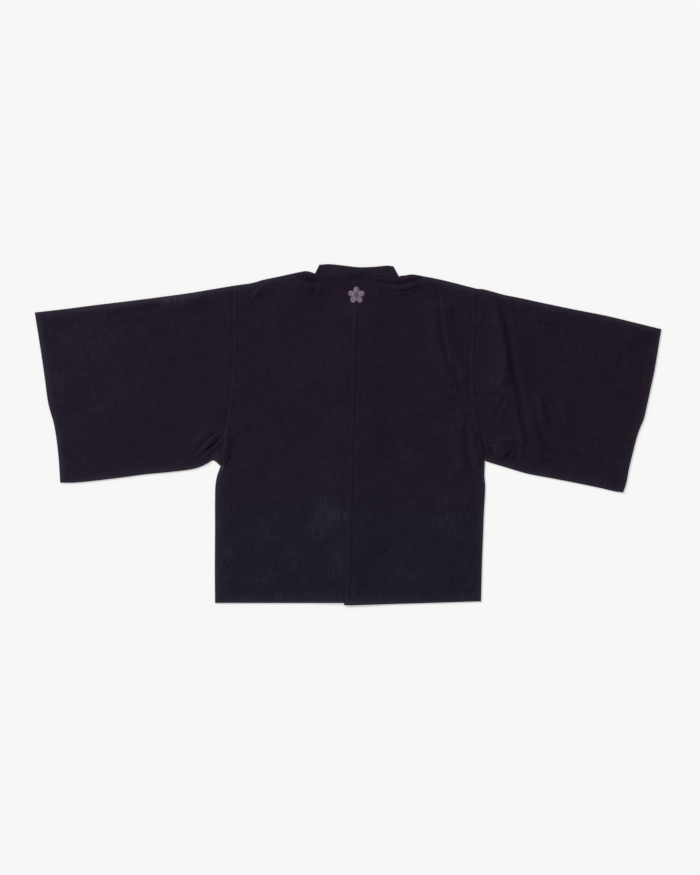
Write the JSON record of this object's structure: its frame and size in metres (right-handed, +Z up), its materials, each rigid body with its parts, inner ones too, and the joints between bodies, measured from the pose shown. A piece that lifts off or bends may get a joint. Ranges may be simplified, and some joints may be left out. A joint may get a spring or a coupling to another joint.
{
  "type": "button-up tunic",
  "caption": "Wide-sleeved tunic with a stand collar and a button front, laid flat on its front with its back uppermost.",
  "frame": {"origin": "middle of the bounding box in plan, on the surface that the tunic lies on", "axes": "+X towards the wearer's right cuff, to the right as the back is seen; +Y towards the collar; +Z up, out of the back"},
  "size_m": [1.378, 0.7506, 0.0098],
  "materials": {
    "tunic_cloth": "matt, finely slubbed plain weave, very dark aubergine",
    "embroidery_thread": "satin stitch, dusty mauve",
    "button_resin": "low gloss, near black"
  },
  "bodies": {
    "root": {"back_left": "tunic_cloth", "back_right": "tunic_cloth", "front_left": "tunic_cloth", "front_right": "tunic_cloth", "sleeve_left": "tunic_cloth", "sleeve_right": "tunic_cloth", "collar": "tunic_cloth", "embroidered_flower": "embroidery_thread", "button_1": "button_resin", "button_2": "button_resin", "button_3": "button_resin", "button_4": "button_resin", "button_5": "button_resin"}
  },
  "joints": []
}
